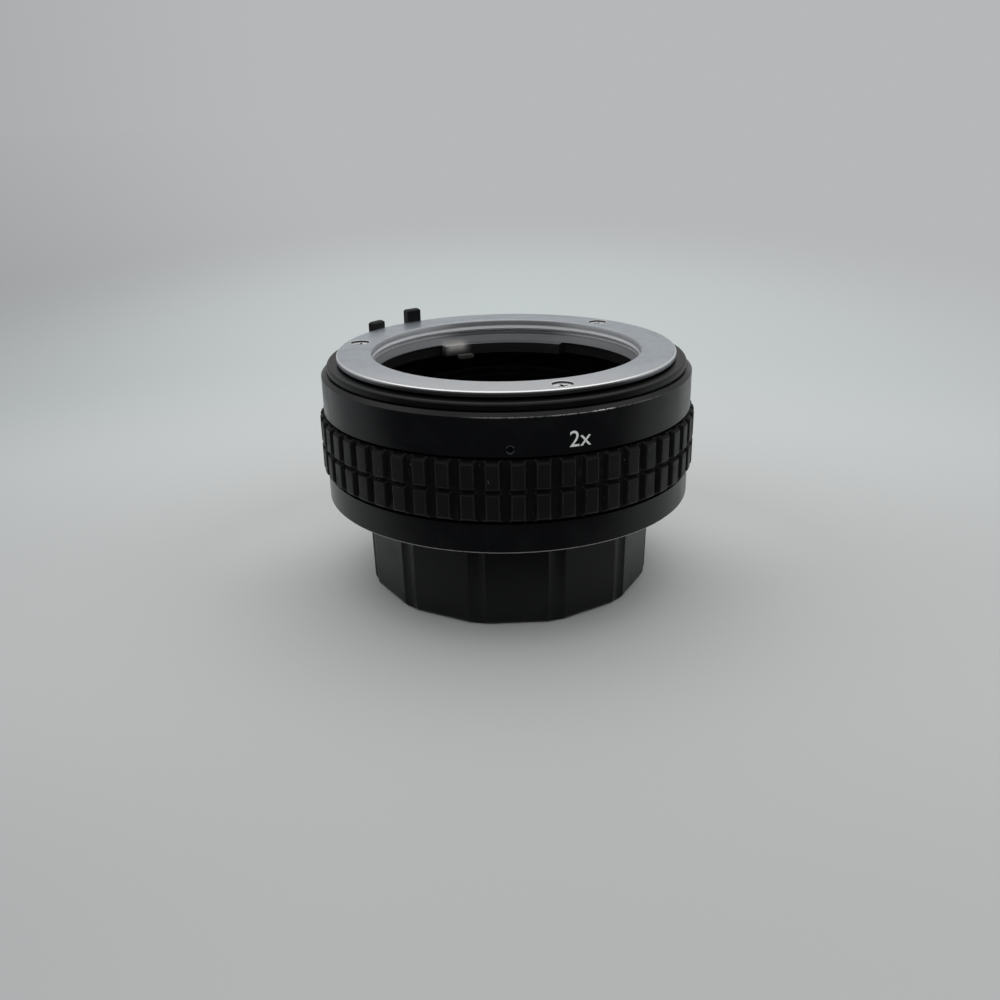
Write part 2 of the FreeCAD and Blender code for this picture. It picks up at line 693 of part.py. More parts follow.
def cap_outline(corner_radius, height):
    """Closed outline of wide flats that alternate with narrow ones."""
    pitch = 360.0 / CAP_FACETS
    points = []
    for index in range(CAP_FACETS):
        for side in (-1, 1):
            angle = math.radians(CAP_AZIMUTH + index * pitch + side * CAP_WIDE_FACET / 2)
            x = corner_radius * math.cos(angle)
            y = corner_radius * math.sin(angle)
            points.append(FreeCAD.Vector(x, y, height))
    return Part.makePolygon(points + points[:1])


def cap_flute():
    """Cutter for the hollow in a narrow flat, at azimuth 0; it leans with the draft."""
    half_angle = math.radians(180.0 / CAP_FACETS - CAP_WIDE_FACET / 2)
    half_width = cap_corner * math.sin(half_angle) - CAP_FLUTE_EDGE
    flat = cap_corner * math.cos(half_angle)
    radius = (half_width ** 2 + CAP_FLUTE_DEPTH ** 2) / (2 * CAP_FLUTE_DEPTH)
    lean = CAP_DRAFT / CAP_HEIGHT
    centre = flat + radius - CAP_FLUTE_DEPTH
    base = FreeCAD.Vector(centre - CAP_DRAFT / 2 - lean * CUT, 0, -CUT)
    length = CAP_HEIGHT + 3 * CUT
    return Part.makeCylinder(radius, length, base, FreeCAD.Vector(lean, 0, 1))


def rear_cap():
    lower = cap_outline(cap_corner - CAP_DRAFT / 2, 0.0)
    upper = cap_outline(cap_corner + CAP_DRAFT / 2, CAP_HEIGHT)
    body = Part.makeLoft([lower, upper], True, True)
    foot = [edge for edge in body.Edges if all(abs(v.Z) < FIT for v in edge.Vertexes)]
    body = body.makeFillet(CAP_ROUND, foot)
    depth = CAP_HEIGHT - CAP_FLOOR + CUT
    bore = Part.makeCylinder(cap_bore, depth, FreeCAD.Vector(0, 0, CAP_FLOOR))
    flutes = repeated(cap_flute(), CAP_FACETS, CAP_AZIMUTH + 180.0 / CAP_FACETS)
    body = body.cut([bore] + flutes)
    lug_bottom = ear_top + RUN_GAP
    inner = rear_tube_radius + CAP_CLEARANCE
    outer = cap_bore + CAP_WALL / 2
    lug = sector(inner, outer, lug_bottom, lug_bottom + CAP_LUG_THICKNESS, 0.0, CAP_LUG_SPAN)
    return body.fuse(repeated(lug, LUGS, EAR_AZIMUTH)).removeSplitter()


PIECES = {
    "barrel": barrel(),
    "grip_ring": grip_ring(),
    "front_mount": front_mount(),
    "front_mount_screws": front_mount_screws(),
    "bayonet_spring": bayonet_spring(),
    "chassis": chassis(),
    "set_screws": set_screws(),
    "lens_cell": lens_cell(),
    "lens_front": lens(front_bottom, FRONT_ELEMENT),
    "lens_spacer": ring(cell_aperture, GLASS_RADIUS, spacer_bottom, front_bottom),
    "lens_second": lens(second_bottom, SECOND_ELEMENT),
    "lens_third": lens(third_bottom, THIRD_ELEMENT),
    "lens_rear": lens(rear_bottom, REAR_ELEMENT),
    "front_retainer": front_retainer(),
    "rear_retainer": rear_retainer(),
    "light_mask": light_mask(),
    "rear_mount": rear_mount(),
    "rear_mount_screws": rear_mount_screws(),
    "lever_clip": lever_clip(),
    "coupling_ring": coupling_ring(),
    "coupling_rods": coupling_rods(),
    "rear_coupling_ring": rear_coupling_ring(),
    "lever_ring": lever_ring(),
    "rear_cap": rear_cap(),
}

os.makedirs("parts", exist_ok=True)
for name, shape in PIECES.items():
    shape.exportStep("parts/" + name + ".step")
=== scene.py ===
import math

import bmesh
import bpy
from mathutils import Matrix, Vector


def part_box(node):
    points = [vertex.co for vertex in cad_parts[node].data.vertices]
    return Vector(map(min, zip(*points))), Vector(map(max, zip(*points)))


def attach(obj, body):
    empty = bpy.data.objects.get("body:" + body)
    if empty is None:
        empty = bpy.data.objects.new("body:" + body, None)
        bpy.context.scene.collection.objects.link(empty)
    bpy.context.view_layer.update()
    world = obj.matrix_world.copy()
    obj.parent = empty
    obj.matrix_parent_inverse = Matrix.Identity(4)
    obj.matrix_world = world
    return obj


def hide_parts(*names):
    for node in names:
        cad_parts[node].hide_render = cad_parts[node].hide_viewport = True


# Teleconverter standing on its rear cap: finishes, softened edges, stage, light and camera.
# The frame is that of the solids; +Z is the optical axis.
# Lengths are in metres, unless a heading or a name says millimetres.

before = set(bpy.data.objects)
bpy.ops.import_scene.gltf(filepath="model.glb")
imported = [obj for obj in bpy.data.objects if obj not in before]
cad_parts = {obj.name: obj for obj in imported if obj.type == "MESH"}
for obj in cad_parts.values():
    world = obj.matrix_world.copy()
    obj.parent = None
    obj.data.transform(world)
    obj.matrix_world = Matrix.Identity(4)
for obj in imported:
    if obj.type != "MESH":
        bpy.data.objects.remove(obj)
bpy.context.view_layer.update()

MM = 0.001
BODY = "converter"

# Heights and radii read from the frame
plate_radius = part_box("front_mount")[1].x
plate_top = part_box("front_mount")[1].z
barrel_low, barrel_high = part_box("barrel")
barrel_radius = barrel_high.x
grip_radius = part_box("grip_ring")[1].x
lever_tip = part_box("lever_ring")[1].z

# Other sizes of the solids, in millimetres and degrees
SHOULDER_CHAMFER = 0.6             # height of the chamfer at the barrel's shoulder
RING_EDGE = 0.5                    # radius of the coupling ring's rounded edge
RING_DROP = 1.3                    # front face down to the coupling ring
GRIP_DEPTH = 0.78                  # height of the grip blocks
THROAT_RADIUS = 23.2               # of the front mount
LUG_DROP = 4.1                     # front face down to the lugs
SET_SCREW_AZIMUTH = -89.25         # of one set screw; the others follow by thirds
SET_SCREW_DROP = 8.15              # front face down to the set screws
SCREW_AZIMUTH = -71.5              # of one front screw; the others follow by thirds
SCREW_CIRCLE = 26.62               # pitch radius of the front screws
SCREW_SUNK = 0.35                  # heads of the front screws below the plate's face
WELL_RADIUS = 1.69                 # of the wells that they are sunk in

# Rounded edges of the copies that are shown, in millimetres and degrees
GRIP_ROUND = 0.24                  # width of the rounding on the grip blocks
GRIP_ROUND_STEPS = 3
GRIP_ROUND_DEPTH = 0.1             # how far below the grip's radius an edge may lie to be rounded
PLATE_ROUND = 0.05                 # width of the rounding on the front mount
PLATE_ROUND_STEPS = 2
SHARP_CORNER = 25.0                # angle between two faces from which their edge is rounded
FLAT_CORNER = 0.5                  # angle up to which two faces count as one
SAME_POINT = 0.0005                # distance up to which two points count as one

# The mark on the barrel, in millimetres and degrees
MARK_TEXT = "2x"
MARK_HEIGHT = 2.5
MARK_PROUD = 0.012
MARK_AZIMUTH = -70.2
MARK_DROP = 8.26                   # front face down to the foot of the figure
FIGURE_SHARE = 0.7                 # height of a figure as a share of the font's size

# Wear, dirt and painted light and shade, in millimetres and degrees; y grows to the back
SHOULDER_LINE = 0.11               # reach of the wear from the shoulder's edge
FOOT_LINE = 0.2                    # reach of the wear and painted reflection at the barrel's lower edge
FOOT_RISE = 0.12                   # height of that band's middle over the edge
WELL_HIGHLIGHT = 0.16                    # reach of the painted highlight round a screw well
SIDE_SHADE = (-24.0, -10.0)         # y over which the painted shade on the plate's side gets lighter
SHEEN_FADE = (-28.0, -8.0)            # y over which the painted sheen on the front of the plate ends
GLINT_RISE = 1.2                     # how far above a lug's top its painted glint ends
GLINT_FALL = 2.2                     # how far below a lug's top its painted glint ends
THROAT_BACK = 90.0                 # azimuth of the throat's far side, where the painted shade is darkest
BAND_REACH = 45.0                  # of the darkest painted shade to either side
FILM_REACH = 70.0                  # of a faint painted shade to either side
BAND_EDGE = 0.2                    # softness of a band in the throat
THROAT_GLEAM = (1.05, 1.90)        # painted highlight band: top and bottom below the front face

# Bands of painted shade in the throat: top and bottom below the front face, strength
THROAT_SHADE_BANDS = ((0.05, 1.10, 0.72), (1.85, 2.9, 0.86), (2.7, 4.3, 0.55))

# Painted glints at the ends of a lug: azimuth, reach, strength
LUG_GLINTS = ((116.0, 9.0, 1.0), (65.0, 8.0, 0.02))

# Worn line along the shoulder: azimuth, reach, strength
SHOULDER_WEAR = ((-63.2, 4.5, 1.0), (-73.5, 9.0, 0.30), (-90.0, 14.0, 0.22), (-50.0, 16.0, 0.10))

# Zones of the floor, in millimetres: ranges of the distance from the axis or of y
FLOOR_FADE = (50.0, 200.0)         # distance over which the floor becomes backdrop
PALE_ROUND = (26.0, 70.0)          # distance over which the painted light on the floor beside the object ends
PALE_BESIDE = (-14.0, 18.0)        # y over which it begins
PALE_BEHIND = (-10.0, 95.0)        # y over which the painted light on the floor behind the object grows
FRONT_ZONE = (-110.0, -45.0)       # y over which the painted shade on the floor far in front ends
MIRROR_DIM = (-60.0, -22.0)        # y over which the dimming in reflections ends
GLOW_MIDDLE = 170.0                # y of the backdrop's pale glow
GLOW_REACH = 450.0
GLOW_NARROWED = 1.6                # the glow's reach along y over its reach along x
GLOW_START = (-60.0, 60.0)         # y over which the glow begins

# Floor and light
FLOOR_HALF = 4.0
LAMP_PLACE = (0.0, 0.12, 0.80)
LAMP_SIZE = 0.9                    # across
LAMP_POWER = 1.6                   # in watts

# Camera, from the photograph
PHOTO_PIXELS = 1000
FOCAL_PIXELS = 1000
PLATE_PIXEL = (491.71, 346.7)      # where the bright plate's centre lies
CAMERA_DISTANCE = 0.17588          # to that centre
CAMERA_ELEVATION = math.radians(12.901)
CAMERA_ROLL = math.radians(-0.936)
SENSOR = 36.0                      # width in millimetres
CLIP_START = 0.005
CLIP_END = 50.0

# Colours, linear
BACKDROP_LEFT = (0.340, 0.349, 0.359)
BACKDROP_RIGHT = (0.468, 0.476, 0.482)
BACKDROP_GLOW = (0.560, 0.605, 0.605)
FLOOR = (0.468, 0.475, 0.474)
# Painted shade on the floor far in front
FLOOR_FRONT_SHADE = (0.405, 0.410, 0.409)
# Painted light on the floor beside and behind the object
FLOOR_PAINTED_LIGHT = (0.608, 0.618, 0.616)
FILL = (0.90, 0.91, 0.915)
PAINT = (0.0032, 0.0034, 0.0041)
PAINT_HAZE = (0.0046, 0.0049, 0.0056)
RING_BLACK = (0.0014, 0.0015, 0.0018)
BARE_METAL = (0.60, 0.60, 0.58)
RUBBER = (0.0047, 0.0048, 0.0051)
# Painted shade on the floors of the grip's grooves
RUBBER_GROOVE_SHADE = (0.0034, 0.0034, 0.0036)
# Painted sheen on the grip's block edges
RUBBER_EDGE_SHEEN = (0.013, 0.0135, 0.0145)
DUST = (0.16, 0.16, 0.155)
PLASTIC = (0.0014, 0.0016, 0.0019)
PLASTIC_HAZE = (0.0032, 0.0035, 0.0038)
PLASTIC_SCUFF = (0.014, 0.0145, 0.015)
CHROME = (0.53, 0.572, 0.618)
CHROME_DULL = (0.46, 0.497, 0.542)
# Painted sheen on the front of the plate
CHROME_SHEEN = (0.74, 0.75, 0.765)
# Polished chrome of the front screws' heads, and the painted highlights on the plate's edge and round the
# screw wells
CHROME_POLISHED_AND_HIGHLIGHT = (0.93, 0.93, 0.93)
CHROME_MARK = (0.22, 0.22, 0.22)
THROAT_DULL = (0.80, 0.82, 0.85)
# Painted highlight band in the throat
THROAT_SHEEN = (0.94, 0.96, 0.98)
# Painted shade in the throat and on the plate's side
THROAT_SHADE = (0.05, 0.05, 0.054)
# Painted shade on the walls of the screw wells
WELL_SHADE = (0.12, 0.12, 0.125)
# Dirt and painted shade in the screws' recesses, and the set screws' dark faces
SCREW_DIRT_AND_SHADE = (0.035, 0.035, 0.036)
# Painted glint at the lugs' ends
LUG_GLINT = (0.40, 0.39, 0.37)
STEEL = (0.84, 0.845, 0.85)
DARK_STEEL = (0.18, 0.18, 0.185)
ANODISED = (0.0012, 0.0012, 0.0014)
ANODISED_HAZE = (0.0022, 0.0022, 0.0024)
LEVER_TIP = (0.075, 0.073, 0.069)
GLASS_CLEAR = (0.93, 0.97, 0.95)
COATING_AMBER = (0.34, 0.22, 0.14)
COATING_VIOLET = (0.20, 0.15, 0.36)
MARK_WHITE = (0.62, 0.63, 0.62)
MARK_DIRT = (0.38, 0.38, 0.37)
BLACK_IOR = 1.33                   # of the black coatings
RING_IOR = 1.32                    # of the duller coating on the coupling rings
GLASS_IOR = 1.6


# Node helpers

class Nodes:
    """A node tree with short calls for the nodes that are used here."""

    def __init__(self, tree):
        self.tree = tree

    def node(self, kind, **sockets):
        """Adds a node; each keyword is an input's name and a value or a socket to link."""
        made = self.tree.nodes.new(kind)
        for name, value in sockets.items():
            self.feed(made.inputs[name.replace("_", " ")], value)
        return made

    def feed(self, socket, value):
        """Links the input where value is a socket too, or else sets its constant."""
        if isinstance(value, bpy.types.NodeSocket):
            self.tree.links.new(value, socket)
        elif isinstance(value, tuple) and len(value) == 3 and socket.type == "RGBA":
            socket.default_value = value + (1.0,)
        else:
            socket.default_value = value

    def math(self, operation, first, second=0.0):
        made = self.tree.nodes.new("ShaderNodeMath")
        made.operation = operation
        self.feed(made.inputs[0], first)
        self.feed(made.inputs[1], second)
        return made.outputs[0]

    def scaled(self, vector, factor):
        made = self.tree.nodes.new("ShaderNodeVectorMath")
        made.operation = "SCALE"
        self.feed(made.inputs[0], vector)
        made.inputs["Scale"].default_value = factor
        return made.outputs[0]

    def combined(self, x, y, z):
        return self.node("ShaderNodeCombineXYZ", X=x, Y=y, Z=z).outputs[0]

    def ramp(self, value, low, high, low_out=0.0, high_out=1.0):
        """Value mapped from low..high to low_out..high_out, smoothly and clamped."""
        made = self.tree.nodes.new("ShaderNodeMapRange")
        made.interpolation_type = "SMOOTHSTEP"
        for index, item in enumerate((value, low, high, low_out, high_out)):
            self.feed(made.inputs[index], item)
        return made.outputs[0]

    def near(self, value, centre, reach):
        """1 up to 0.3 of the reach from centre, falling to 0 at the reach."""
        distance = self.math("ABSOLUTE", self.math("SUBTRACT", value, centre))
        return self.ramp(distance, 0.3 * reach, reach, 1.0, 0.0)

    def both(self, first, second):
        """Product of two values or masks."""
        return self.math("MULTIPLY", first, second)

    def either(self, first, second):
        """The stronger of two values or masks."""
        return self.math("MAXIMUM", first, second)

    def colour(self, factor, first, second):
        """The first colour where factor is 0, the second where it is 1."""
        made = self.tree.nodes.new("ShaderNodeMix")
        made.data_type = "RGBA"
        self.feed(made.inputs[0], factor)
        self.feed(made.inputs[6], first)
        self.feed(made.inputs[7], second)
        return made.outputs[2]

    def bump(self, height, depth_mm, strength):
        """Normal of a surface that is raised by depth_mm where height is 1."""
        made = self.node("ShaderNodeBump", Height=height, Strength=strength, Distance=depth_mm * MM)
        return made.outputs[0]

    def across(self, x, y):
        """Length of the level vector (x, y)."""
        return self.math("SQRT", self.math("ADD", self.both(x, x), self.both(y, y)))


class Finish(Nodes):
    """A material, with the solid's own position in millimetres and its polar form."""

    def __init__(self, name):
        self.material = bpy.data.materials.new(name)
        self.material.use_nodes = True
        super().__init__(self.material.node_tree)
        self.shader = self.tree.nodes["Principled BSDF"]
        coordinates = self.tree.nodes.new("ShaderNodeTexCoord")
        self.position = self.scaled(coordinates.outputs["Object"], 1 / MM)
        split = self.node("ShaderNodeSeparateXYZ", Vector=self.position)
        self.x, self.y, self.z = split.outputs
        self.radius = self.across(self.x, self.y)
        self.azimuth = self.math("ARCTAN2", self.y, self.x)
        geometry = self.tree.nodes.new("ShaderNodeNewGeometry")
        self.upward = self.node("ShaderNodeSeparateXYZ", Vector=geometry.outputs["Normal"]).outputs["Z"]

    def third(self, first):
        """Azimuth from the nearest of three places a third of a turn apart, the first one in degrees."""
        span = 2 * math.pi / 3
        turned = self.math("ADD", self.azimuth, 2 * math.pi + span / 2 - math.radians(first))
        return self.math("SUBTRACT", self.math("MODULO", turned, span), span / 2)

    def stretches(self, table):
        """Mask of stretches round the axis, each with azimuth and reach in degrees and a strength."""
        mask = 0.0
        for azimuth, reach, strength in table:
            stretch = self.near(self.azimuth, math.radians(azimuth), math.radians(reach))
            mask = self.either(mask, self.both(stretch, strength))
        return mask

    def stretched(self, x, y, z):
        """The position with a factor on each axis, for noise that is longer one way."""
        return self.combined(self.both(self.x, x), self.both(self.y, y), self.both(self.z, z))

    def noise(self, scale, detail=3.0, roughness=0.5, vector=None):
        """Noise with about `scale` cells per millimetre."""
        made = self.node(
            "ShaderNodeTexNoise",
            Vector=vector or self.position, Scale=scale, Detail=detail, Roughness=roughness,
        )
        return made.outputs["Fac"]

    def surface(self, **sockets):
        """Feeds the shader's inputs and returns the material."""
        for name, value in sockets.items():
            self.feed(self.shader.inputs[name.replace("_", " ")], value)
        return self.material


# Finishes

def barrel_paint():
    """Satin black paint, worn through to metal along the shoulder, and bare metal along the lower edge that
    is partly wear and partly a painted reflection of the floor.
    """
    finish = Finish("barrel_paint")
    haze = finish.ramp(finish.noise(0.18, 4.0), 0.40, 0.75)
    grain = finish.noise(9.0, 2.0)
    ragged = finish.ramp(finish.noise(2.3, 4.0, 0.65), 0.38, 0.52)
    shoulder_line = finish.near(finish.z, barrel_high.z / MM - SHOULDER_CHAMFER, SHOULDER_LINE)
    shoulder_wear = finish.both(shoulder_line, finish.both(finish.stretches(SHOULDER_WEAR), ragged))
    uneven = finish.ramp(finish.noise(0.9, 4.0, 0.6), 0.30, 0.55, 0.25, 0.75)
    # Lower edge: wear, and a painted reflection of the bright floor on its chamfer
    foot_line = finish.near(finish.z, barrel_low.z / MM + FOOT_RISE, FOOT_LINE)
    foot_wear_and_sheen = finish.both(foot_line, uneven)
    wear_and_sheen = finish.either(shoulder_wear, foot_wear_and_sheen)
    paint = finish.colour(haze, PAINT, PAINT_HAZE)
    return finish.surface(
        Base_Color=finish.colour(wear_and_sheen, paint, BARE_METAL),
        Metallic=wear_and_sheen,
        Roughness=finish.ramp(haze, 0.0, 1.0, 0.26, 0.34),
        IOR=BLACK_IOR,
        Normal=finish.bump(grain, 0.006, 0.3),
    )


def ring_paint():
    """Black paint on a turned ring, with faint lathe lines."""
    finish = Finish("ring_paint")
    section = finish.combined(finish.both(finish.radius, 9.0), finish.both(finish.z, 9.0), 0.0)
    lines = finish.noise(1.0, 2.0, 0.5, section)
    haze = finish.ramp(finish.noise(0.25, 4.0), 0.35, 0.75)
    return finish.surface(
        Base_Color=finish.colour(haze, RING_BLACK, PAINT),
        Roughness=finish.ramp(lines, 0.3, 0.7, 0.32, 0.42),
        IOR=RING_IOR,
        Normal=finish.bump(lines, 0.006, 0.3),
    )


def mount_metal(name):
    """Satin plating on turned metal: fine rings, dull blotches, small pits and hairlines.

    The finish that comes back also holds the plating's base colour and roughness.
    """
    finish = Finish(name)
    turned = finish.combined(
        finish.both(finish.radius, 14.0), finish.both(finish.azimuth, 1.5), finish.both(finish.z, 14.0)
    )
    rings = finish.noise(1.0, 2.0, 0.5, turned)
    blotch = finish.ramp(finish.noise(0.35, 5.0, 0.6), 0.40, 0.70)
    pits = finish.ramp(finish.noise(3.2, 2.0, 0.5), 0.70, 0.78)
    streaks = finish.noise(1.0, 3.0, 0.6, finish.stretched(0.5, 6.0, 0.5))
    hairlines = finish.ramp(streaks, 0.66, 0.74, 0.0, 0.5)
    marks = finish.either(pits, hairlines)
    metal = finish.colour(blotch, CHROME, CHROME_DULL)
    tone = finish.ramp(rings, 0.2, 0.8, 0.30, 0.40)
    finish.base = finish.colour(finish.both(marks, 0.45), metal, CHROME_MARK)
    finish.rough = finish.math("ADD", tone, finish.both(marks, 0.15))
    finish.surface(
        Base_Color=finish.base,
        Metallic=1.0,
        Roughness=finish.rough,
        Normal=finish.bump(rings, 0.004, 0.25),
    )
    return finish


def screw_wells(finish, face):
    """Masks for the painted shade on the walls of the three screw wells and for the painted highlight on
    the plate's rim round each.
    """
    local = finish.third(SCREW_AZIMUTH)
    along = finish.math("SUBTRACT", finish.both(finish.radius, finish.math("COSINE", local)), SCREW_CIRCLE)
    beside = finish.both(finish.radius, finish.math("SINE", local))
    distance = finish.across(along, beside)
    wall = finish.ramp(distance, WELL_RADIUS + 0.02, WELL_RADIUS + 0.06, 1.0, 0.0)
    wall = finish.both(wall, finish.ramp(finish.z, face - 0.08, face - 0.03, 1.0, 0.0))
    rim = finish.near(distance, WELL_RADIUS + 0.05, WELL_HIGHLIGHT)
    return wall, rim


def throat_band(finish, face, top, bottom):
    """Mask of a soft-edged band, from top to bottom below the front face."""
    return finish.both(
        finish.ramp(finish.z, face - bottom, face - bottom + BAND_EDGE),
        finish.ramp(finish.z, face - top - BAND_EDGE, face - top, 1.0, 0.0),
    )


def throat_shade(finish, face, lug_top):
    """Mask of the throat's painted shade: bands, darkest at the back, the lugs' tops and a faint shade at
    the back.
    """
    back = math.radians(THROAT_BACK)
    bands = 0.0
    for top, bottom, strength in THROAT_SHADE_BANDS:
        bands = finish.either(bands, finish.both(throat_band(finish, face, top, bottom), strength))
    darkest = finish.ramp(finish.near(finish.azimuth, back, math.radians(BAND_REACH)), 0.0, 1.0, 0.45, 1.0)
    ledge = finish.ramp(finish.z, lug_top + 0.05, lug_top + 0.20, 0.85, 0.0)
    faint_shade = finish.both(finish.near(finish.azimuth, back, math.radians(FILM_REACH)), 0.25)
    return finish.either(finish.either(finish.both(bands, darkest), ledge), faint_shade)


def lug_glint(finish, lug_top):
    """Mask of the painted glints at the ends of a lug, which fade out above and below it."""
    inner = finish.ramp(finish.radius, THROAT_RADIUS + 0.05, THROAT_RADIUS + 0.15, 1.0, 0.0)
    low = finish.ramp(finish.z, lug_top - GLINT_FALL, lug_top - 0.2)
    high = finish.ramp(finish.z, lug_top, lug_top + GLINT_RISE, 1.0, 0.0)
    return finish.both(finish.both(finish.stretches(LUG_GLINTS), inner), finish.both(low, high))


def throat_metal():
    """Plating of the front mount: a painted sheen at the front, dull in the throat with painted bands of
    highlight and shade, black under the lugs, with painted glints at the lugs' ends.
    """
    finish = mount_metal("throat_metal")
    face = plate_top / MM
    rim = plate_radius / MM
    lug_top = face - LUG_DROP
    inside = finish.ramp(finish.radius, THROAT_RADIUS + 0.55, THROAT_RADIUS + 0.75, 1.0, 0.0)
    wall = finish.both(inside, finish.ramp(finish.z, face - 0.10, face - 0.02, 1.0, 0.0))
    under = finish.both(inside, finish.ramp(finish.z, lug_top - 0.12, lug_top - 0.02, 1.0, 0.0))
    glint = lug_glint(finish, lug_top)
    coated = finish.math("SUBTRACT", under, finish.both(under, glint))
    # Painted highlight band high in the throat
    gleam = finish.both(wall, throat_band(finish, face, *THROAT_GLEAM))
    # Painted shade on the lower part of the plate's side, darkest at the front
    side = finish.ramp(finish.radius, rim - 0.20, rim - 0.10)
    side = finish.both(side, finish.ramp(finish.z, face - 0.50, face - 0.25, 1.0, 0.0))
    side = finish.both(side, finish.ramp(finish.y, *SIDE_SHADE, 0.85, 0.25))
    # Painted shade: bands in the throat and the plate's side
    painted_shade = finish.either(finish.both(wall, throat_shade(finish, face, lug_top)), side)
    # Painted highlight along the chamfer of the plate's outer edge
    edge = finish.ramp(finish.radius, rim - 0.22, rim - 0.16)
    edge = finish.both(edge, finish.ramp(finish.z, face - 0.25, face - 0.17))
    well_wall_shade, well_rim_highlight = screw_wells(finish, face)
    # Painted sheen on the front of the plate
    front_sheen = finish.ramp(finish.y, *SHEEN_FADE, 0.8, 0.0)
    base = finish.colour(front_sheen, finish.base, CHROME_SHEEN)
    # Painted highlights on the plate's outer edge and round the screw wells, painted shade on the wells'
    # walls
    base = finish.colour(finish.either(well_rim_highlight, edge), base, CHROME_POLISHED_AND_HIGHLIGHT)
    base = finish.colour(well_wall_shade, base, WELL_SHADE)
    base = finish.colour(wall, base, THROAT_DULL)
    base = finish.colour(gleam, base, THROAT_SHEEN)
    base = finish.colour(painted_shade, base, THROAT_SHADE)
    # Painted glint at the lugs' ends
    base = finish.colour(glint, base, LUG_GLINT)
    metallic = finish.ramp(wall, 0.0, 1.0, 1.0, 0.6)
    metallic = finish.both(metallic, finish.ramp(gleam, 0.0, 1.0, 1.0, 0.2))
    return finish.surface(
        Base_Color=finish.colour(coated, base, ANODISED),
        Metallic=finish.both(metallic, finish.math("SUBTRACT", 1.0, finish.either(coated, glint))),
        Roughness=finish.either(finish.rough, finish.both(coated, 0.6)),
    )


def bright_steel():
    """Turned steel with fine brushing."""
    finish = Finish("bright_steel")
    brushed = finish.noise(1.0, 3.0, 0.6, finish.stretched(11.0, 11.0, 3.0))
    stain = finish.ramp(finish.noise(1.3, 3.0), 0.45, 0.75, 0.0, 0.35)
    return finish.surface(
        Base_Color=finish.colour(stain, STEEL, DARK_STEEL),
        Metallic=1.0,
        Roughness=finish.ramp(brushed, 0.25, 0.75, 0.22, 0.34),
        Normal=finish.bump(brushed, 0.004, 0.3),
    )


def screw_head_steel():
    """Plated front screws, with painted shade and dirt in the cross recess."""
    finish = Finish("screw_head_steel")
    head = plate_top / MM - SCREW_SUNK
    # Painted shade, with dirt, low in the cross recess
    recess = finish.ramp(finish.z, head - 0.08, head - 0.03, 1.0, 0.0)
    stain = finish.ramp(finish.noise(1.3, 3.0), 0.45, 0.75, 0.0, 0.3)
    metal = finish.colour(stain, CHROME_POLISHED_AND_HIGHLIGHT, CHROME)
    return finish.surface(
        Base_Color=finish.colour(recess, metal, SCREW_DIRT_AND_SHADE),
        Metallic=1.0,
        Roughness=finish.ramp(stain, 0.0, 0.3, 0.42, 0.55),
        Normal=finish.bump(finish.noise(8.0, 2.0), 0.004, 0.3),
    )


def set_screw_steel():
    """Dull dark grub screws with a painted highlight on the rim and painted shade in the slot."""
    finish = Finish("set_screw_steel")
    beside = finish.both(finish.radius, finish.math("SINE", finish.third(SET_SCREW_AZIMUTH)))
    above = finish.math("SUBTRACT", finish.z, plate_top / MM - SET_SCREW_DROP)
    # Painted highlight on the rim and painted shade in the slot
    rim = finish.ramp(finish.across(beside, above), 0.45, 0.65)
    slot_shade = finish.ramp(finish.math("ABSOLUTE", above), 0.16, 0.22, 1.0, 0.0)
    metal = finish.colour(rim, SCREW_DIRT_AND_SHADE, CHROME_DULL)
    return finish.surface(
        Base_Color=finish.colour(slot_shade, metal, SCREW_DIRT_AND_SHADE),
        Metallic=1.0,
        Roughness=finish.ramp(finish.noise(3.0, 3.0, 0.6), 0.3, 0.7, 0.35, 0.50),
    )


def lever_steel():
    """Steel, near black below and lighter towards the front lever's tip."""
    finish = Finish("lever_steel")
    tip = lever_tip / MM
    uneven = finish.both(finish.noise(2.0, 3.0, 0.6), 0.5)
    bright = finish.ramp(finish.math("ADD", finish.z, uneven), tip - 0.60, tip)
    return finish.surface(
        Base_Color=finish.colour(bright, ANODISED, LEVER_TIP),
        Metallic=finish.both(bright, 0.5),
        Roughness=finish.ramp(bright, 0.0, 1.0, 0.60, 0.45),
        Specular_IOR_Level=0.0,
        Normal=finish.bump(finish.noise(5.0, 3.0, 0.6), 0.004, 0.3),
    )


def grip_rubber():
    """Moulded black rubber with a fine matt grain, painted shade in the grooves and specks of dust."""
    finish = Finish("grip_rubber")
    grain = finish.noise(7.0, 3.0, 0.6)
    patches = finish.ramp(finish.noise(0.5, 4.0, 0.6), 0.40, 0.75)
    dust = finish.ramp(finish.noise(2.6, 2.0, 0.5), 0.735, 0.76)
    floor = grip_radius / MM - GRIP_DEPTH
    # Painted shade on the grooves' floors
    raised = finish.ramp(finish.radius, floor + 0.1 * GRIP_DEPTH, floor + 0.8 * GRIP_DEPTH)
    shade = finish.colour(raised, RUBBER_GROOVE_SHADE, RUBBER)
    return finish.surface(
        Base_Color=finish.colour(finish.both(dust, 0.6), shade, DUST),
        Roughness=finish.ramp(patches, 0.0, 1.0, 0.44, 0.56),
        IOR=BLACK_IOR,
        Specular_IOR_Level=finish.both(
            finish.ramp(raised, 0.0, 1.0, 0.34, 0.5), finish.ramp(finish.upward, 0.2, 0.7, 1.0, 0.3)
        ),
        Normal=finish.bump(grain, 0.02, 0.35),
    )


